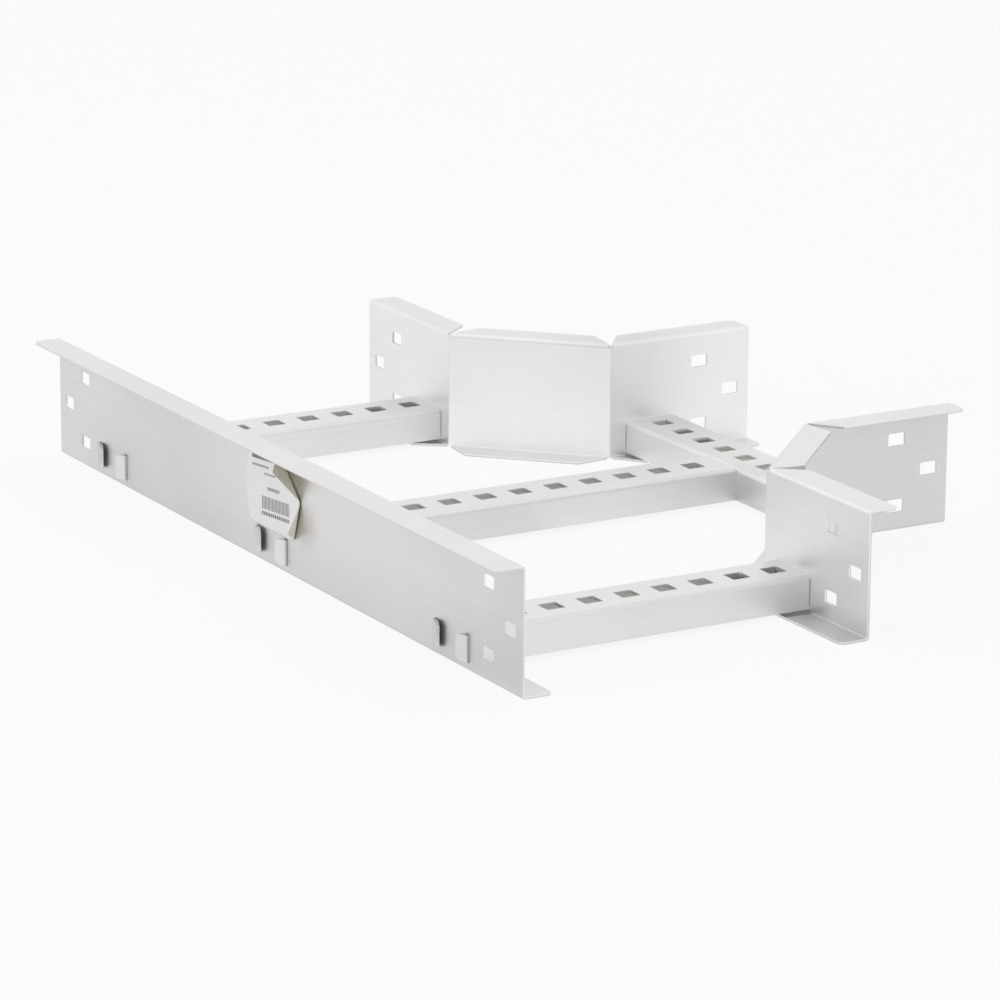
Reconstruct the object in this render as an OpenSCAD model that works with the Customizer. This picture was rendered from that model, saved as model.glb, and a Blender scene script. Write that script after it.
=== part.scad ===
// Cable tray tee: three bent side rails, four rungs and a paper label.
// Millimetres. X runs with the branch, Y with the main run, Z up from the floor.
// The origin is on the floor, in the middle of the overall box.

/* [Tray] */
// Clear width between the side rails, the same in the main run and the branch
tray_width = 230; // [190:1:300]
// Height of the side rails
rail_height = 78; // [66:1:110]
// Each leg of the 45 degree corner, seen from above
corner_leg = 78; // [50:1:120]
// Straight part of a corner rail beside the main run, from its bend to the end
main_wing = 110; // [102:1:200]
// Straight part of a corner rail beside the branch, from its bend to the end
branch_wing = 107; // [102:1:200]

/* [Side rails] */
// Thickness of the rail sheet
rail_t = 1.5; // [1.2:0.1:2.5]
// Flange leg, over the web
flange_leg = 20; // [16:0.5:26]
// Inside radius of every rail bend
rail_bend_r = 0.7; // [0.5:0.1:2]
// Radius on the free corners of the flanges
flange_corner_r = 4; // [1:0.5:8]
// Depth of the relief in the web at a corner bend, from the top and from the bottom
bend_relief = 1; // [0.5:0.1:2]
// Slope of the cut at a flange end beside a corner bend, from square
notch_angle = 38; // [25:1:45]
// Gap between a corner bend and the flange end beside it
notch_root = 0.4; // [0.2:0.1:2]

/* [Splice slots] */
// Length of a splice slot, along the rail
splice_slot_w = 12.5; // [8:0.5:15]
// Height of a splice slot
splice_slot_h = 8.2; // [6:0.1:10]
// Corner radius of a splice slot
splice_slot_r = 1.2; // [0.5:0.1:2.5]
// Rail end to the centre of the single slot
splice_near = 14; // [12:0.5:17]
// Rail end to the centres of the paired slots
splice_far = 38.5; // [34:0.5:39]
// Centre of the upper paired slot above the centre of the lower one
splice_rise = 43; // [36:0.5:45]
// Middle of the splice slots below the middle of the rail
splice_drop = 1.5; // [0:0.1:2]

/* [Rungs] */
// Width of a rung channel
rung_width = 39; // [36:0.1:44]
// Height of a rung channel
rung_height = 21; // [19:0.5:26]
// Rungs above the bottom bends of the rails
rung_rise = 1.1; // [0.2:0.1:2]
// Thickness of the rung sheet
rung_t = 2; // [1.5:0.1:2.5]
// Inside radius along the top edges of a rung
rung_bend_r = 1; // [0.5:0.1:1.5]
// Corner bend to the centre line of a rung of the main run
wing_rung = 30; // [27:0.5:32]
// Corner bend to the centre line of the branch rung
branch_rung_at = 32; // [27:0.5:33]
// Side of a square rung hole
hole_side = 12.2; // [8:0.1:14]
// Corner radius of a rung hole
hole_r = 0.8; // [0.4:0.1:2]
// Spacing of the rung holes
hole_pitch = 25.4; // [20:0.1:32]
// Least distance from a rung end to the centre of its last hole
hole_edge = 12; // [10:0.5:15]

/* [Tabs] */
// Height of a rung tab
tab_h = 16; // [10:0.5:16]
// Length of the folded tab, over the rung wall
tab_leg = 9; // [8:0.5:15]
// Radius on the free corners of a folded tab
tab_corner_r = 4; // [1:0.5:5]
// Gap under a tab at its fold
tab_gap = 0.4; // [0.3:0.1:1.5]
// Angle by which a folded tab stands open from the web
tab_open = 14; // [0:1:20]
// Middle of the tabs below the middle of the rung wall
tab_drop = 0.2; // [0:0.1:1]
// Clearance between a tab and its slot
tab_clear = 0.5; // [0.2:0.1:0.8]

/* [Paper label] */
// Distance from the top bend of the rail down to the label
label_top_gap = 6.8; // [1:0.1:20]
// Width of the part stuck to the web
label_stuck = 42; // [20:1:50]
// Length of the part that has peeled off
label_peel = 32; // [15:1:35]
// Radius of the peeled curl
label_curl_r = 60; // [36:1:80]
// Thickness of the label
label_t = 0.4; // [0.3:0.1:0.8]
// Middle of the run to the left edge of the label
label_left = 33; // [20:1:40]
// Distance from the tabs of the middle rung up to the label
label_tab_gap = 1.2; // [0.4:0.1:6]

/* [Hidden] */
$fn = 48;
cut_over = 1;
lap = 1.5;
bend_angle = 45;
// A corner bend stands a hair proud of the flats and its ends are buried in them
bend_proud = 0.06 * rail_bend_r;
fold_proud = 0.05;
rail_ro = rail_t + rail_bend_r;
bend_in = rail_bend_r + bend_proud;
bend_out = rail_ro + bend_proud;
bend_bury = (acos(rail_ro / bend_out) + acos(rail_bend_r / bend_in)) / 2;
bend_lap = (sqrt(bend_out * bend_out - rail_ro * rail_ro)
            + sqrt(bend_in * bend_in - rail_bend_r * rail_bend_r)) / 2;
notch_start = bend_out * sin(bend_bury) + notch_root;
rung_ro = rung_t + rung_bend_r;
half_width = tray_width / 2;
bend_y = half_width + corner_leg;
run_length = 2 * (bend_y + main_wing);
over_x = flange_leg + tray_width + corner_leg + branch_wing;
web_out_x = flange_leg - rail_t - over_x / 2;
web_in_x = web_out_x + rail_t;
wing_x = web_in_x + tray_width;
bend_x = wing_x + corner_leg;
bend_tangent = rail_ro * tan(bend_angle / 2);
main_len = main_wing - bend_tangent;
branch_len = branch_wing - bend_tangent;
slant_len = corner_leg * sqrt(2) - 2 * bend_tangent;
rung_y = bend_y + wing_rung;
branch_rung_x = bend_x + branch_rung_at;
middle_len = branch_rung_x - rung_width / 2 - web_in_x;
rung_z = rail_ro + rung_rise;
tab_z = rung_z + (rung_height - tab_h) / 2 - tab_drop;
tab_v = (rung_width - rung_t) / 2;
label_low = tab_z + tab_h + label_tab_gap;
label_h = rail_height - rail_ro - label_top_gap - label_low;
metal = [0.80, 0.81, 0.82];
paper = [0.93, 0.92, 0.88];

// Sliver between a square corner and its round, with the corner at the origin
module corner_nib(r) {
  difference() {
    translate([-cut_over, -cut_over])
      square(r + cut_over);
    translate([r, r])
      circle(r);
  }
}

// Rectangle with rounded corners about its own centre
module round_rect(w, h, r) {
  square([w - 2 * r, h], center = true);
  square([w, h - 2 * r], center = true);
  for (sx = [-1, 1])
    for (sy = [-1, 1])
      translate([sx * (w / 2 - r), sy * (h / 2 - r)])
        circle(r);
}

// Upright opening through a web that lies along X with its inner face on Y = 0
module web_cut(u, z) {
  translate([u, rail_t + cut_over, z])
    rotate([90, 0, 0])
      linear_extrude(rail_t + 2 * cut_over)
        children();
}

// Web of one straight stretch; an end is free when its flag is true
module web_plate(len, free_start, free_end) {
  h = rail_height - 2 * rail_ro;
  translate([0, rail_t, rail_ro])
    rotate([90, 0, 0])
      linear_extrude(rail_t)
        union() {
          square([len, h]);
          if (!free_start)
            translate([-bend_lap, 0])
              square([2 * bend_lap, h]);
          if (!free_end)
            translate([len - bend_lap, 0])
              square([2 * bend_lap, h]);
        }
}

// Section of a flange: a lap on the web below Y = 0, the bend, and the flat to +X
module flange_section() {
  difference() {
    translate([0, -lap])
      square([flange_leg, rail_ro + lap]);
    translate([0, rail_ro])
      mirror([0, 1])
        corner_nib(rail_ro);
    difference() {
      translate([rail_t, -lap - cut_over])
        square([flange_leg, lap + cut_over + rail_bend_r]);
      translate([rail_t, rail_bend_r])
        mirror([0, 1])
          corner_nib(rail_bend_r);
    }
  }
}

// What a flange loses at an end on X = 0, seen from above
module flange_end_cut(free) {
  reach = flange_leg + rail_t;
  if (free)
    translate([0, flange_leg])
      mirror([0, 1])
        corner_nib(flange_corner_r);
  else
    polygon([[-cut_over, -cut_over], [notch_start, -cut_over], [notch_start, rail_t],
             [notch_start + flange_leg * tan(notch_angle), reach], [-cut_over, reach]]);
}

// Flange of one straight stretch, on a web that ends at Z = 0
module flange(len, free_start, free_end) {
  difference() {
    rotate([90, 0, 90])
      linear_extrude(len)
        flange_section();
    translate([0, 0, -lap - cut_over])
      linear_extrude(rail_ro + lap + 2 * cut_over)
        flange_end_cut(free_start);
    translate([len, 0, -lap - cut_over])
      linear_extrude(rail_ro + lap + 2 * cut_over)
        mirror([1, 0])
          flange_end_cut(free_end);
  }
}

// One straight stretch of Z rail: top flange to +Y, bottom flange to -Y
module rail_stretch(len, free_start, free_end) {
  web_plate(len, free_start, free_end);
  translate([0, 0, rail_height - rail_ro])
    flange(len, free_start, free_end);
  translate([0, rail_t, rail_ro])
    mirror([0, 0, 1])
      mirror([0, 1, 0])
        flange(len, free_start, free_end);
}

// Three splice slots at a free rail end on X = 0
module splice_slots() {
  mid = rail_height / 2 - splice_drop;
  web_cut(splice_near, mid)
    round_rect(splice_slot_w, splice_slot_h, splice_slot_r);
  for (side = [-1, 1])
    web_cut(splice_far, mid + side * splice_rise / 2)
      round_rect(splice_slot_w, splice_slot_h, splice_slot_r);
}

// Two upright slots for the tabs of a rung centred on X = 0
module tab_slots() {
  for (side = [-1, 1])
    web_cut(side * tab_v, tab_z + tab_h / 2)
      square([rung_t + 2 * tab_clear, tab_h + 2 * tab_clear], center = true);
}

// Web turned through a corner bend, then the frame of the next stretch
module after_bend(len) {
  translate([len, rail_ro, 0])
    rotate(bend_angle)
      translate([0, -rail_ro, 0])
        children();
}

module bend_web(len) {
  translate([len, rail_ro, 0])
    rotate(-90 - bend_bury)
      rotate_extrude(angle = bend_angle + 2 * bend_bury)
        translate([bend_in, bend_relief])
          square([rail_t, rail_height - 2 * bend_relief]);
}

// Bent corner rail: main wing, slanted part and branch wing
module corner_rail() {
  difference() {
    union() {
      rail_stretch(main_len, true, false);
      bend_web(main_len);
      after_bend(main_len) {
        rail_stretch(slant_len, false, false);
        bend_web(slant_len);
        after_bend(slant_len)
          rail_stretch(branch_len, false, true);
      }
    }
    splice_slots();
    translate([main_wing - wing_rung, 0, 0])
      tab_slots();
    after_bend(main_len)
      after_bend(slant_len) {
        translate([branch_rung_at - bend_tangent, 0, 0])
          tab_slots();
        translate([branch_len, 0, 0])
          mirror([1, 0, 0])
            splice_slots();
      }
  }
}

// Outline of a rung channel, open below
module rung_outline() {
  difference() {
    translate([-rung_width / 2, 0])
      square([rung_width, rung_height]);
    for (side = [0, 1])
      mirror([side, 0])
        translate([-rung_width / 2, rung_height])
          mirror([0, 1])
            corner_nib(rung_ro);
    difference() {
      translate([rung_t - rung_width / 2, -cut_over])
        square([rung_width - 2 * rung_t, rung_height - rung_t + cut_over]);
      for (side = [0, 1])
        mirror([side, 0])
          translate([rung_t - rung_width / 2, rung_height - rung_t])
            mirror([0, 1])
              corner_nib(rung_bend_r);
    }
  }
}

// Plan of a tab: through the web, folded about the origin, then standing open to -Y
module tab_plan(fold_x) {
  translate([0, -rung_t / 2])
    square([fold_x + lap, rung_t]);
  circle(rung_t / 2 + fold_proud);
  rotate(-90 - tab_open)
    translate([0, -rung_t / 2])
      square([tab_leg - rung_t / 2, rung_t]);
}

// Corners lost at the free end of a tab, which is on X = 0
module tab_corners() {
  mirror([1, 0])
    corner_nib(tab_corner_r);
  translate([0, tab_h])
    rotate(180)
      corner_nib(tab_corner_r);
}

// Pair of folded tabs at a rung end on X = 0, passing through the web to -X
module tab_pair() {
  fold_x = rail_t + tab_gap + rung_t / 2;
  for (side = [0, 1])
    mirror([0, side, 0])
      translate([-fold_x, tab_v, tab_z])
        difference() {
          linear_extrude(tab_h)
            tab_plan(fold_x);
          rotate(-90 - tab_open)
            translate([tab_leg - rung_t / 2, rung_t / 2 + cut_over, 0])
              rotate([90, 0, 0])
                linear_extrude(rung_t + 2 * cut_over)
                  tab_corners();
        }
}

// Rung channel from X = 0; the far end has tabs when the flag is true
module rung(len, far_tabs) {
  count = 1 + floor((len - 2 * hole_edge) / hole_pitch);
  first = (len - (count - 1) * hole_pitch) / 2;
  difference() {
    translate([0, 0, rung_z])
      rotate([90, 0, 90])
        linear_extrude(len)
          rung_outline();
    for (i = [0 : count - 1])
      translate([first + i * hole_pitch, 0, rung_z + rung_height - rung_t - cut_over])
        linear_extrude(rung_t + 2 * cut_over)
          round_rect(hole_side, hole_side, hole_r);
  }
  tab_pair();
  if (far_tabs)
    translate([len, 0, 0])
      mirror([1, 0, 0])
        tab_pair();
}

module long_side_rail() {
  color(metal)
    translate([web_in_x, -run_length / 2, 0])
      rotate(90)
        difference() {
          rail_stretch(run_length, true, true);
          splice_slots();
          translate([run_length, 0, 0])
            mirror([1, 0, 0])
              splice_slots();
          for (y = [-rung_y, 0, rung_y])
            translate([run_length / 2 + y, 0, 0])
              tab_slots();
        }
}

module far_corner_rail() {
  color(metal)
    translate([wing_x, run_length / 2, 0])
      rotate(-90)
        corner_rail();
}

module near_corner_rail() {
  color(metal)
    mirror([0, 1, 0])
      translate([wing_x, run_length / 2, 0])
        rotate(-90)
          corner_rail();
}

module far_rung() {
  color(metal)
    translate([web_in_x, rung_y, 0])
      rung(tray_width, true);
}

module middle_rung() {
  color(metal)
    translate([web_in_x, 0, 0])
      rung(middle_len, false);
}

module near_rung() {
  color(metal)
    translate([web_in_x, -rung_y, 0])
      rung(tray_width, true);
}

module branch_rung() {
  color(metal)
    translate([branch_rung_x, -half_width, 0])
      rotate(90)
        rung(tray_width, true);
}

// Label: a flat part on the web and a peeled part that curls away from it
module paper_label() {
  turn = label_peel / label_curl_r * 180 / PI;
  reach = 2 * label_curl_r;
  color(paper)
    translate([web_out_x, label_left - label_stuck, label_low])
      linear_extrude(label_h)
        union() {
          translate([-label_t, 0])
            square([label_t, label_stuck]);
          intersection() {
            translate([-label_curl_r, 0])
              difference() {
                circle(label_curl_r);
                circle(label_curl_r - label_t);
              }
            translate([-label_curl_r, 0])
              polygon([[0, 0], [reach, 0], [reach, -reach * tan(turn)]]);
          }
        }
}

long_side_rail();
far_corner_rail();
near_corner_rail();
far_rung();
middle_rung();
near_rung();
branch_rung();
paper_label();
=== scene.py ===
# %% [markdown]
# # A cable tray tee in mill aluminium
# The object is a tee of ladder cable tray: one straight side rail, two rails that are cranked round the
# corners, four punched rungs and a half peeled paper label. Its solids come ready made, in metres, as a
# fixed frame. So this lesson dresses them: it sets up the camera and the light, gives the sheet metal its
# rolled finish, and makes the paper label as a real sheet of paper.

# %% Load the fixed frame
import math

import bmesh
import bpy
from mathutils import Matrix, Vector


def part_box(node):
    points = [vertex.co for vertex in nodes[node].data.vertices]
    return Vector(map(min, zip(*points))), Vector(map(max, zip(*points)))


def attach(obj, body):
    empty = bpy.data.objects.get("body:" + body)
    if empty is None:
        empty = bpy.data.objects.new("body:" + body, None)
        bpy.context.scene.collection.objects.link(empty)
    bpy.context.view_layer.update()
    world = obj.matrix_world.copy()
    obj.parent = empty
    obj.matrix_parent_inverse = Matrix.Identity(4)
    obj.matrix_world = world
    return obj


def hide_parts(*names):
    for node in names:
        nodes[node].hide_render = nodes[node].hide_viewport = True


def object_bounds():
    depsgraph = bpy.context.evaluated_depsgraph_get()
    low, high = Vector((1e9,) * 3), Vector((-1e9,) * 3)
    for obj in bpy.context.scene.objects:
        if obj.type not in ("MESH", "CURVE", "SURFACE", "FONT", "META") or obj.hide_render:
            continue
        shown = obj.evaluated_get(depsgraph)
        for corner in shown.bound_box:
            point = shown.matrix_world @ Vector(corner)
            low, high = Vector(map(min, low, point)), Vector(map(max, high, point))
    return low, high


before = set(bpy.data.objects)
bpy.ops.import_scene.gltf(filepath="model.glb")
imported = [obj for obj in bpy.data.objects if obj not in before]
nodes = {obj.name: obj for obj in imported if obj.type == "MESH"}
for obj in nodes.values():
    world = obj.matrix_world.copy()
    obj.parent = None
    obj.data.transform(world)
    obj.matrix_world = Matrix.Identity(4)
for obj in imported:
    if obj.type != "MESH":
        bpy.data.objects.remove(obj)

cad_low, cad_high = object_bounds()
print("pieces:", ", ".join(sorted(nodes)))
print("overall size in mm:", [round(1000 * v) for v in cad_high - cad_low])

# %% [markdown]
# ## Camera
# The tee stands on a floor and is seen from above one end of the long rail, with a long lens, so parallel
# rails stay nearly parallel. A camera can be set by eye, but here its place and its turn were worked out from
# corners whose real places are known, which is more exact.

# %% Camera
camera = bpy.data.objects.new("camera", bpy.data.cameras.new("camera"))
camera.location = (-1.52232, -2.56817, 0.84846)
camera.rotation_euler = [math.radians(a) for a in (74.4005, -0.3421, -29.9112)]
camera.data.lens = 177.573
camera.data.sensor_width = 36
bpy.context.scene.collection.objects.link(camera)
bpy.context.scene.camera = camera
bpy.context.scene.view_settings.view_transform = "Standard"
print("camera to the middle of the tee:", round(camera.location.length, 2), "m")

# %% [markdown]
# ## Node helpers
# A material is a small graph of nodes. A few helpers keep the cells short: they start an empty graph, add a
# node and fill its inputs, by number or by name, with a value or a link, and close the graph with its output.
# A mask is a number from 0 to 1 at each point, so a product of two masks means both, and the larger of two
# means either.

# %% Node helpers
def start_material(name):
    material = bpy.data.materials.new(name)
    material.use_nodes = True
    material.node_tree.nodes.clear()
    return material, material.node_tree


def fill(tree, node, inputs):
    for key, value in inputs.items():
        if isinstance(value, bpy.types.NodeSocket):
            tree.links.new(value, node.inputs[key])
        else:
            node.inputs[key].default_value = value
    return node


def add(tree, kind, inputs, **settings):
    node = tree.nodes.new("ShaderNode" + kind)
    for name, value in settings.items():
        setattr(node, name, value)
    fill(tree, node, inputs)
    return next(output for output in node.outputs if output.enabled)


def close_graph(tree, kind, surface):
    fill(tree, tree.nodes.new("ShaderNodeOutput" + kind), {"Surface": surface})


def reckon(tree, operation, first, second=0.0):
    return add(tree, "Math", {0: first, 1: second}, operation=operation)


def both(tree, first, second):
    return reckon(tree, "MULTIPLY", first, second)


def either(tree, first, second):
    return reckon(tree, "MAXIMUM", first, second)


def above(tree, value, limit):
    return reckon(tree, "GREATER_THAN", value, limit)


def below(tree, value, limit):
    return reckon(tree, "LESS_THAN", value, limit)


print("node helpers ready")

# %% [markdown]
# ## Floor and background
# A studio sweep could be lit until it is white, but that would light the object more too. So the floor answers
# rays that come straight from the camera, or by way of a mirror or glass, with a share of plain white, and all
# other rays as matt paint. The share of paint that is left keeps the soft shadow under the rails.

# %% Floor
floor_half = 9.0
floor_white = 0.87
floor_paint = (0.93, 0.93, 0.93, 1)
pure_white = (1, 1, 1, 1)


def seen_directly(tree):
    path = tree.nodes.new("ShaderNodeLightPath").outputs
    plain_or_mirrored = either(tree, path["Is Camera Ray"], path["Is Glossy Ray"])
    return either(tree, plain_or_mirrored, path["Is Transmission Ray"])


floor_finish, tree = start_material("studio_floor")
white_share = both(tree, seen_directly(tree), floor_white)
paint = add(tree, "BsdfDiffuse", {"Color": floor_paint})
white = add(tree, "Emission", {"Color": pure_white, "Strength": 1.0})
close_graph(tree, "Material", add(tree, "MixShader", {0: white_share, 1: paint, 2: white}))

bm = bmesh.new()
bmesh.ops.create_grid(bm, x_segments=1, y_segments=1, size=floor_half)
floor_mesh = bpy.data.meshes.new("floor")
bm.to_mesh(floor_mesh)
bm.free()
floor_mesh.materials.append(floor_finish)
floor = bpy.data.objects.new("floor", floor_mesh)
bpy.context.scene.collection.objects.link(floor)
print("floor", [round(v, 1) for v in floor.dimensions], "m")

# %% [markdown]
# ## Light
# Mill aluminium looks flat and even under large soft boxes, so one wide lamp hangs over the tee, a second one
# stands low on the left to open the faces that look that way, and the surroundings give the rest. They are
# white for mirror rays, and a pale grey for the light that they throw. The lamps are kept out of the
# reflections, because metal would mirror them on top of the white surroundings, and every face and bend that
# does so would burn out.

# %% Surroundings and lamps
thrown_light, mirrored_light = 0.66, 1.0
world = bpy.data.worlds.new("studio")
world.use_nodes = True
tree = world.node_tree
tree.nodes.clear()
strength = add(tree, "MapRange", {0: seen_directly(tree), 3: thrown_light, 4: mirrored_light})
close_graph(tree, "World", add(tree, "Background", {"Color": pure_white, "Strength": strength}))
bpy.context.scene.world = world


def soft_box(name, place, width, watts):
    light = bpy.data.lights.new(name, "AREA")
    light.shape = "RECTANGLE"
    light.size, light.size_y = width, width
    light.energy = watts
    lamp = bpy.data.objects.new(name, light)
    lamp.location = place
    lamp.rotation_euler = (-lamp.location).to_track_quat("-Z", "Y").to_euler()
    lamp.visible_glossy = False
    bpy.context.scene.collection.objects.link(lamp)
    print(name, watts, "W at", place)


soft_box("overhead", place=(0.0, 0.0, 2.6), width=6.0, watts=11)
soft_box("left_fill", place=(-2.5, 0.1, 0.9), width=1.3, watts=12)

# %% [markdown]
# ## The two sides of the sheet
# Rolled sheet comes with one bright side and one duller side. On this tee the bright side is turned into the
# tray: it is the inside of every web, and it carries on over the bend to the top of the top flange. The web of
# the far slant is painted brighter still, as light that falls on it. Painted masks could tell the sides apart,
# but the meshes are not to be changed, so masks in Object coordinates find them from the places of the webs.
# The tee is alike on both sides of its middle, so y is taken without its sign, and one mask serves both corner
# rails.

# %% Where the bright side is
sheet = 0.0015
flange_reach = 0.0185
bend_on_run, bend_on_branch = 0.193, 0.1105
web_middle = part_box("long_side_rail")[0].x + flange_reach + sheet / 2
wing_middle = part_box("far_corner_rail")[0].x + flange_reach + sheet / 2
branch_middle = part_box("far_corner_rail")[0].y + flange_reach + sheet / 2
slant_middle = bend_on_run + wing_middle + sheet * (math.sqrt(2) - 1) / 2
rail_top = cad_high.z


def split(tree, place):
    axes = fill(tree, tree.nodes.new("ShaderNodeSeparateXYZ"), {0: place}).outputs
    return axes[0], reckon(tree, "ABSOLUTE", axes[1]), axes[2]


def bright_faces(tree, inside, z):
    off_floor = above(tree, z, sheet / 2)
    on_top = above(tree, z, rail_top - sheet / 2)
    return either(tree, both(tree, inside, off_floor), on_top)


def bright_on_long_rail(tree, place):
    x, _, z = split(tree, place)
    return bright_faces(tree, above(tree, x, web_middle), z)


def bright_on_corner(tree, place):
    x, y, z = split(tree, place)
    by_wings = either(tree, below(tree, x, wing_middle), below(tree, y, branch_middle))
    by_slant = below(tree, reckon(tree, "ADD", x, y), slant_middle)
    return bright_faces(tree, either(tree, by_wings, by_slant), z)


# The web of the far slant, painted brighter as light that falls on it.
def lit_slant(tree, place):
    x, y, z = split(tree, place)
    between_bends = both(tree, below(tree, y, bend_on_run), below(tree, x, bend_on_branch))
    web_alone = both(tree, between_bends, below(tree, z, rail_top - 2 * sheet))
    return both(tree, web_alone, bright_on_corner(tree, place))


print("webs at", [round(1000 * v, 1) for v in (web_middle, wing_middle, branch_middle)], "mm")

# %% [markdown]
# ## The sides of the rungs
# The rungs show a bright side too. On the rungs of the run the flat tops are painted brighter still, as lit
# tops, and a band along the top edges is painted a little darker, as shade that tones down the light on the
# bends. Their tabs pass through the webs and show the dull side outside, and their hollows are painted darker,
# as shade inside them. The same kind of mask finds all this: the rungs of the run start at the long web, and
# the outer two end at the wings, while the branch rung lies between the two branch webs. A margin puts the
# limit of a mask inside the sheet, because on a face it would flicker.

# %% Where the rungs are bright, lit on top and shaded
top_margin, wall_margin, roof_margin = 0.00005, 0.0013, 0.0012
edge_band, edge_shade = 0.003, 0.12
rung_low, rung_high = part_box("far_rung")
outer_rung, rung_top = (rung_low.y + rung_high.y) / 2, rung_high.z
hollow_half = (rung_high.y - rung_low.y) / 2 - wall_margin
branch_rung = (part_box("branch_rung")[0].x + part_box("branch_rung")[1].x) / 2


def inside_run(tree, place):
    x, y, _ = split(tree, place)
    past_wing = both(tree, above(tree, x, wing_middle), above(tree, y, bend_on_run))
    return reckon(tree, "SUBTRACT", above(tree, x, web_middle), past_wing)


def inside_branch(tree, place):
    _, y, _ = split(tree, place)
    return below(tree, y, branch_middle)


# The flat tops of the run rungs, painted brighter as lit tops.
def lit_top_of_run(tree, place):
    _, _, z = split(tree, place)
    return both(tree, inside_run(tree, place), above(tree, z, rung_top - top_margin))


# A band along the top edges of the run rungs, painted a little darker as shade on the bends.
def shaded_edge_of_run(tree, place):
    _, _, z = split(tree, place)
    return both(tree, above(tree, z, rung_top - edge_band), edge_shade)


def off(tree, value, line):
    return reckon(tree, "ABSOLUTE", reckon(tree, "SUBTRACT", value, line))


def in_hollow(tree, off_line, z, within_webs):
    between_walls = below(tree, off_line, hollow_half)
    under_roof = below(tree, z, rung_top - roof_margin)
    return both(tree, both(tree, between_walls, under_roof), within_webs)


# The hollows inside the rungs are painted darker, as shade inside them.
def shaded_hollow_of_run(tree, place):
    _, y, z = split(tree, place)
    off_line = reckon(tree, "MINIMUM", y, off(tree, y, outer_rung))
    return in_hollow(tree, off_line, z, inside_run(tree, place))


def shaded_hollow_of_branch(tree, place):
    x, _, z = split(tree, place)
    return in_hollow(tree, off(tree, x, branch_rung), z, inside_branch(tree, place))


print("rungs at", [round(1000 * v, 1) for v in (outer_rung, branch_rung)], "mm")
print("rung tops at", round(1000 * rung_top, 1), "mm")

# %% [markdown]
# ## Rolling lines
# Fine lines run along the rolling direction, which is along each rail and rung. An image of lines could show
# them, but a noise that is stretched a hundred times along one axis does too, and needs no file. A Mapping node
# of the Texture kind turns the axes first and stretches them after, so one helper serves every direction. On a
# corner rail the direction changes at each bend, so three sets of lines are joined by where a point lies.

# %% Rolling lines
line_length, line_width = 0.3, 0.0026


def rolled(tree, place, turn):
    stretch = (line_length, line_width, line_width)
    mapping = {"Vector": place, "Rotation": (0, 0, math.radians(turn)), "Scale": stretch}
    return add(tree, "Mapping", mapping, vector_type="TEXTURE")


def along_run(tree, place):
    return rolled(tree, place, 90)


def along_branch(tree, place):
    return rolled(tree, place, 0)


def choose(tree, share, first, second):
    return add(tree, "Mix", {0: share, 4: first, 5: second}, data_type="VECTOR")


def round_far_corner(tree, place, slant=-45):
    x, y, _ = split(tree, place)
    on_run = above(tree, y, bend_on_run)
    on_branch = above(tree, x, bend_on_branch)
    bent = choose(tree, on_run, rolled(tree, place, slant), along_run(tree, place))
    return choose(tree, on_branch, bent, along_branch(tree, place))


def round_near_corner(tree, place):
    return round_far_corner(tree, place, 45)


print("rolling lines for runs, branch and both corners")

# %% [markdown]
# ## Soft patches
# Soft grey patches are painted in a few places. Most of them are painted shade: where a rung meets a web and
# faintly along the near rung, low at the near end of the near corner, near the bend of the far corner and low
# on the near half of the branch rung. Two more on the long web only make it darker there. The middle of the
# long web is a little warmer and paler than its ends, a painted shadow and reflection of the loose label lies
# on the web beside it, and a painted highlight lies near the far end of the branch rung. Such patches could be
# painted by hand, but a ball in space needs only its middle, its radius and its greatest share: the share is
# full near the middle and fades to nothing at the radius. A piece may have several, and the strongest counts.
# The foot of the long web is painted darker too, as shade near the floor, but not at the far end, so two ramps
# do that, one up the web and one along it.

# %% Soft patches
full_core = 0.15
web_outside, wing_inside, branch_side = -0.199, 0.0325, 0.123
foot_height, foot_share = 0.045, 0.22
foot_fades, foot_ends = 0.2, 0.28


def patches_at(*patches):
    def where(tree, place):
        share = 0.0
        for middle, radius, most in patches:
            away = add(tree, "VectorMath", {0: place, 1: middle}, operation="DISTANCE")
            fade = {0: away, 1: full_core * radius, 2: radius, 3: most, 4: 0.0}
            one = add(tree, "MapRange", fade, interpolation_type="SMOOTHSTEP")
            share = either(tree, one, share)
        return share
    return where


# Painted shade near the floor along the foot of the long web.
def shaded_foot_of_long_web(tree, place):
    axes = fill(tree, tree.nodes.new("ShaderNodeSeparateXYZ"), {0: place}).outputs
    low = add(tree, "MapRange", {0: axes[2], 1: 0.0, 2: foot_height, 3: foot_share, 4: 0.0})
    return add(tree, "MapRange", {0: axes[1], 1: foot_fades, 2: foot_ends, 3: low, 4: 0.0})


long_rail_grey = patches_at(((web_outside, 0.14, 0.045), 0.12, 0.07), ((web_outside, -0.30, 0.04), 0.06, 0.10))
long_rail_warm = patches_at(((web_outside, -0.13, 0.04), 0.15, 0.6))
# A painted shadow and reflection of the loose label on the web.
label_shadow_and_reflection = patches_at(((web_outside, -0.041, 0.037), 0.022, 1.0))
# Painted shade near the bend of the far corner.
far_corner_bend_shade = patches_at(((0.118, 0.115, 0.045), 0.085, 0.19))
# Painted shade low at the near end and where the near rung meets the web.
near_corner_shade = patches_at(((wing_inside, -0.30, 0.0), 0.052, 0.26),
                              ((wing_inside, -0.252, 0.002), 0.022, 0.18))
# Painted shade where the rungs meet the webs, and faintly along the near rung.
rung_joint_shade = patches_at(((0.034, -0.2425, 0.01), 0.042, 0.27), ((-0.06, -0.2425, 0.012), 0.16, 0.09),
                       ((0.122, -0.02, 0.006), 0.1, 0.2), ((0.032, 0.203, 0.004), 0.04, 0.1))
# Painted shade low on the near half of the branch rung.
branch_rung_shade = patches_at(((branch_side, -0.03, -0.004), 0.045, 0.46))
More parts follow.
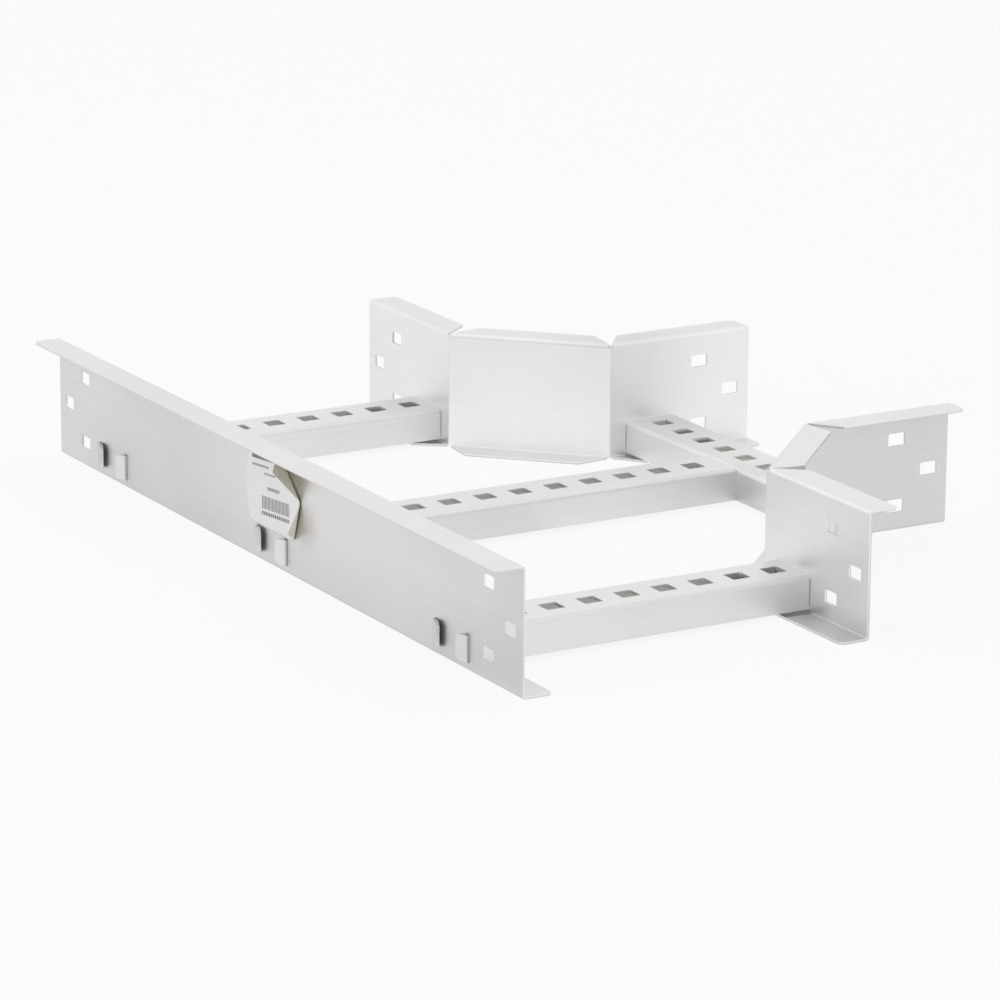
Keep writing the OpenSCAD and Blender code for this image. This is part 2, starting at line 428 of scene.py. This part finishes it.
# A painted highlight near the far top of the branch rung.
branch_rung_painted_highlight = patches_at(((branch_side, 0.098, 0.022), 0.035, 1.0))
# Of these, the gummed patch is a painted shadow and reflection of the label, and the bright one a painted
# highlight.
print("greyed patches for all seven pieces of sheet, and a warm, a gummed and a bright one")

# %% [markdown]
# ## Mill aluminium
# The skin of the sheet is satin: all metal, fairly rough, and nearly even in tone. A flat grey would look like
# plastic, so the rolling lines and soft clouds from handling move the tone and the roughness a little, and a
# shallow bump follows the lines. Each further side, stain, painted shade or painted light is a layer of its own
# tone, laid over the first through its mask. A Bevel node rounds the cut edges for the light alone, so they
# catch a thin bright line as real edges do. The grey tint keeps faces that are seen at a low angle from going
# as white as a mirror.

# %% Mill aluminium
ramp_ends = (0.34, 0.66)
marks_low, marks_high = 0.3, 0.7
cloud_scale, line_share = 11.0, 0.35
dull_spread, layer_spread = 0.03, 0.022
roughest, smoothest = 0.45, 0.39
edge_round = 0.0004
ripple_strength, ripple_depth = 0.12, 0.0001
low_angle_tint = (0.75, 0.75, 0.75, 1)


def tone_ramp(tree, marks, tone, spread):
    ramp = tree.nodes.new("ShaderNodeValToRGB")
    ends = ramp.color_ramp.elements
    for end, place, gain in zip((ends[0], ends[1]), ramp_ends, (1 - spread, 1 + spread)):
        end.position = place
        end.color = (*(gain * part for part in tone), 1)
    return fill(tree, ramp, {0: marks}).outputs[0]


def mill_finish(name, lines_along, dull, *layers):
    material, tree = start_material(name)
    place = tree.nodes.new("ShaderNodeTexCoord").outputs["Object"]
    lines = add(tree, "TexNoise", {"Vector": lines_along(tree, place), "Scale": 1.0, "Detail": 5.0})
    clouds = add(tree, "TexNoise", {"Vector": place, "Scale": cloud_scale, "Detail": 4.0})
    marks = add(tree, "Mix", {0: line_share, 2: clouds, 3: lines}, data_type="FLOAT")
    tone = tone_ramp(tree, marks, dull, dull_spread)
    for layer, where in layers:
        other = tone_ramp(tree, marks, layer, layer_spread)
        tone = add(tree, "Mix", {0: where(tree, place), 6: tone, 7: other}, data_type="RGBA")
    satin = add(tree, "MapRange", {0: marks, 1: marks_low, 2: marks_high, 3: roughest, 4: smoothest})
    edge = add(tree, "Bevel", {"Radius": edge_round}, samples=4)
    ripple = add(tree, "Bump", {"Strength": ripple_strength, "Distance": ripple_depth,
                                "Height": lines, "Normal": edge})
    skin = {"Base Color": tone, "Metallic": 1.0, "Roughness": satin, "Normal": ripple,
            "Specular Tint": low_angle_tint}
    close_graph(tree, "Material", add(tree, "BsdfPrincipled", skin))
    return material


print("mill finish ready")

# %% [markdown]
# ## Dress the sheet metal
# Each piece of sheet gets a finish of its own, because its lines, sides, stains and painted light and shade lie
# in other places. Only the three rungs of the run share one. The layers are laid in the order in which they are
# named, so a painted lit top covers the grey below it, and on the rungs the painted shade of the hollows comes
# last. The solids keep their meshes and only change their material.

# %% Dress the sheet metal
# Some of these tones are painted light and shade: the darkest grey mostly, the warm mid grey and the palest
# tone wholly, and the bright side where it makes the lit tops of the run rungs.
dull_side, corner_dull = (0.785, 0.785, 0.782), (0.705, 0.705, 0.715)
bright_side_and_lit_top, painted_light_tone, rung_side = (0.90, 0.895, 0.89), (0.97, 0.965, 0.975), (0.84, 0.837, 0.846)
greyed, painted_shade_tone, warm = (0.40, 0.42, 0.43), (0.64, 0.625, 0.61), (0.835, 0.82, 0.80)
rung_finish = mill_finish(
    "mill_rung", along_branch, dull_side, (rung_side, inside_run), (greyed, rung_joint_shade),
    (greyed, shaded_edge_of_run), (bright_side_and_lit_top, lit_top_of_run), (painted_shade_tone, shaded_hollow_of_run))
finishes = {
    "long_side_rail": mill_finish(
        "mill_long_rail", along_run, dull_side, (warm, long_rail_warm), (greyed, shaded_foot_of_long_web),
        (painted_shade_tone, label_shadow_and_reflection), (bright_side_and_lit_top, bright_on_long_rail), (greyed, long_rail_grey)),
    "far_corner_rail": mill_finish(
        "mill_far_corner", round_far_corner, corner_dull, (bright_side_and_lit_top, bright_on_corner),
        (greyed, far_corner_bend_shade), (painted_light_tone, lit_slant)),
    "near_corner_rail": mill_finish(
        "mill_near_corner", round_near_corner, corner_dull, (bright_side_and_lit_top, bright_on_corner),
        (greyed, near_corner_shade)),
    "far_rung": rung_finish, "middle_rung": rung_finish, "near_rung": rung_finish,
    "branch_rung": mill_finish(
        "mill_branch_rung", along_run, dull_side, (bright_side_and_lit_top, inside_branch),
        (painted_light_tone, branch_rung_painted_highlight), (greyed, branch_rung_shade), (painted_shade_tone, shaded_hollow_of_branch)),
}
for name, finish in finishes.items():
    nodes[name].data.materials.clear()
    nodes[name].data.materials.append(finish)
print("dressed", len(finishes), "pieces of sheet")

# %% [markdown]
# ## Paper label: the flat sheet
# A paper label is stuck to the outside of the long web, and its right side has come loose. A bent sheet is
# easiest to make flat: a grid of small squares, measured from the lower left corner, keeps its own UV map of
# the flat paper, and is bent afterwards. The two lower corners have worn off, and both right corners are
# dog-eared along straight folds that meet at a peak on the right edge, so the grid is cut along those lines
# first.

# %% Paper label: the flat sheet
paper_wide, paper_high, paper_thick = 0.0705, 0.0525, 0.0003
squares_wide, squares_high = 66, 41
fold_round, fold_steps = 0.0011, (0, 0.35, 0.7, 1)
uv_per_metre, print_slope = 10, 0.08


def on_paper(x, y):
    return Vector((x, y, 0))


left_top, left_low, foot_left = on_paper(0, 0.0126), on_paper(0.004, 0.0015), on_paper(0.0105, 0)
foot_right, right_low = on_paper(0.0576, 0), on_paper(0.0705, 0.0054)
peak, fold_top, fold_foot = on_paper(0.0705, 0.0269), on_paper(0.0414, 0.0525), on_paper(0.0615, 0)
worn = ((left_top, left_low), (left_low, foot_left), (foot_right, right_low))
folds = ((peak, fold_top, math.radians(56)), (fold_foot, peak, math.radians(80)))

bm = bmesh.new()
bmesh.ops.create_grid(bm, x_segments=squares_wide, y_segments=squares_high, size=0.5)
bmesh.ops.translate(bm, verts=bm.verts, vec=(0.5, 0.5, 0))
bmesh.ops.scale(bm, verts=bm.verts, vec=(paper_wide, paper_high, 1))


def right_of(start, end):
    return (end - start).cross(Vector((0, 0, 1))).normalized()


def cut_paper(start, end, shift, drop):
    away = right_of(start, end)
    parts = bm.verts[:] + bm.edges[:] + bm.faces[:]
    bmesh.ops.bisect_plane(bm, geom=parts, plane_co=start + shift * away, plane_no=away, clear_outer=drop)


for start, end in worn:
    cut_paper(start, end, 0, True)
for start, end, angle in folds:
    for step in fold_steps:
        cut_paper(start, end, step * fold_round * angle, False)
flat = bm.loops.layers.uv.new("flat")
for face in bm.faces:
    for loop in face.loops:
        x, y = uv_per_metre * loop.vert.co.x, uv_per_metre * loop.vert.co.y
        loop[flat].uv = (x, y - print_slope * x)
print("flat label", len(bm.faces), "faces")

# %% [markdown]
# ## Paper label: folds, curl and place
# A fold is a small round: paper that lies past the fold line first follows an arc and then goes on straight, so
# a dog-ear stands out from the web and shows its back. The loose side also leaves the web a little, in a
# shallow curve. These are plain moves of the grid's points, which give the exact amount of each, where a
# simulation would only come near it.

# %% Paper label: folds, curl and place
loose_from, loose_lift = 0.036, 0.0007
loose_wide = paper_wide - loose_from
air_gap, label_drop = 0.00005, 0.0003
label_low, label_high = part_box("paper_label")
web_face = label_high.x


def turn_over(point, start, end, angle):
    away = right_of(start, end)
    past = (point - start).dot(away)
    if past <= 0:
        return point
    bent = min(angle, past / fold_round)
    rest = past - fold_round * bent
    across = fold_round * math.sin(bent) + rest * math.cos(bent)
    lift = fold_round * (1 - math.cos(bent)) + rest * math.sin(bent)
    return point + (across - past) * away + Vector((0, 0, lift))


for vert in bm.verts:
    point = vert.co.copy()
    for fold in folds:
        point = turn_over(point, *fold)
    loose = max(0, point.x - loose_from) / loose_wide
    slope = math.atan(2 * loose_lift * loose / loose_wide)
    off_web = paper_thick + air_gap + loose_lift * loose ** 2 + point.z * math.cos(slope)
    along_web = label_high.y - point.x + point.z * math.sin(slope)
    vert.co = (web_face - off_web, along_web, label_low.z - label_drop + point.y)
for face in bm.faces:
    face.smooth = True
label_mesh = bpy.data.meshes.new("peeled_label")
bm.to_mesh(label_mesh)
bm.free()
label = bpy.data.objects.new("peeled_label", label_mesh)
bpy.context.scene.collection.objects.link(label)
body = label.modifiers.new("thickness", "SOLIDIFY")
body.thickness, body.offset, body.material_offset = paper_thick, -1, 1
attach(label, "root")
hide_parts("paper_label")
furthest = web_face - min(v.co.x for v in label_mesh.vertices)
print("label stands", round(1000 * furthest, 1), "mm off the web")

# %% [markdown]
# ## Printed paper
# The front is plain white paper with a faint fibre. Its print is kept generic: a heading bar, a few plain rules
# and two rows of evenly spaced bars. An image could carry it, but boxes on the flat UV map need no file, stay
# sharp, bend with the paper and share the slope of the map. Each box is given in millimetres of paper: left,
# right, bottom and top. A row also has the pitch of its bars and the share of the pitch that is black.

# %% Printed paper
mm_per_uv = 1000 / uv_per_metre
heading = (7.5, 39, 40.2, 43.4)
rules = ((7.7, 29.5, 35.5, 36.9), (23.3, 38.2, 31.3, 32.6), (27.2, 43.3, 22, 24.2))
bar_rows = (((20, 56.6, 9.7, 17.8), 1.86, 0.6), ((20, 56.6, 5.7, 8.1), 2.84, 0.72))
rule_ink, most_ink, ink_tone = 0.7, 0.85, (0.08, 0.08, 0.085, 1)
paper_tone, paper_spread, paper_rough = (0.86, 0.86, 0.855), 0.02, 0.7
fibre_scale, fibre_strength, fibre_depth = 900.0, 0.2, 0.00005


def within(tree, value, low, high):
    return both(tree, above(tree, value, low / mm_per_uv), below(tree, value, high / mm_per_uv))


def printed_box(tree, u, v, left, right, bottom, top):
    return both(tree, within(tree, u, left, right), within(tree, v, bottom, top))


front, tree = start_material("label_paper")
spots = tree.nodes.new("ShaderNodeTexCoord").outputs
u, v, _ = fill(tree, tree.nodes.new("ShaderNodeSeparateXYZ"), {0: spots["UV"]}).outputs
ink = printed_box(tree, u, v, *heading)
for rule in rules:
    ink = either(tree, ink, both(tree, printed_box(tree, u, v, *rule), rule_ink))
for row, pitch, share in bar_rows:
    along_pitch = reckon(tree, "FRACT", both(tree, u, mm_per_uv / pitch))
    bars = below(tree, along_pitch, share)
    ink = either(tree, ink, both(tree, bars, printed_box(tree, u, v, *row)))
fibre = add(tree, "TexNoise", {"Vector": spots["Object"], "Scale": fibre_scale, "Detail": 4.0})
white_paper = tone_ramp(tree, fibre, paper_tone, paper_spread)
inked = add(tree, "Mix", {0: both(tree, ink, most_ink), 6: white_paper, 7: ink_tone}, data_type="RGBA")
grain = add(tree, "Bump", {"Strength": fibre_strength, "Distance": fibre_depth, "Height": fibre})
matt = {"Base Color": inked, "Roughness": paper_rough, "Normal": grain}
close_graph(tree, "Material", add(tree, "BsdfPrincipled", matt))
label_mesh.materials.append(front)
print("printed", 1 + len(rules), "rules and", len(bar_rows), "rows of bars")

# %% [markdown]
# ## Gummed back
# The back of the label carries old gum, so it is yellower, uneven and a little glossy. One noise serves both:
# where the gum is thick it is paler and shinier. The Solidify modifier gives the back the second material.

# %% Gummed back
gum_tone, gum_spread, smear_scale = (0.92, 0.875, 0.745), 0.06, 160.0
dry_gum, wet_gum = 0.65, 0.42
gummed, tree = start_material("label_gummed_back")
place = tree.nodes.new("ShaderNodeTexCoord").outputs["Object"]
smears = add(tree, "TexNoise", {"Vector": place, "Scale": smear_scale, "Detail": 5.0})
gum = tone_ramp(tree, smears, gum_tone, gum_spread)
shine = add(tree, "MapRange", {0: smears, 1: marks_low, 2: marks_high, 3: dry_gum, 4: wet_gum})
close_graph(tree, "Material", add(tree, "BsdfPrincipled", {"Base Color": gum, "Roughness": shine}))
label_mesh.materials.append(gummed)
print("label finishes:", [m.name for m in label_mesh.materials])
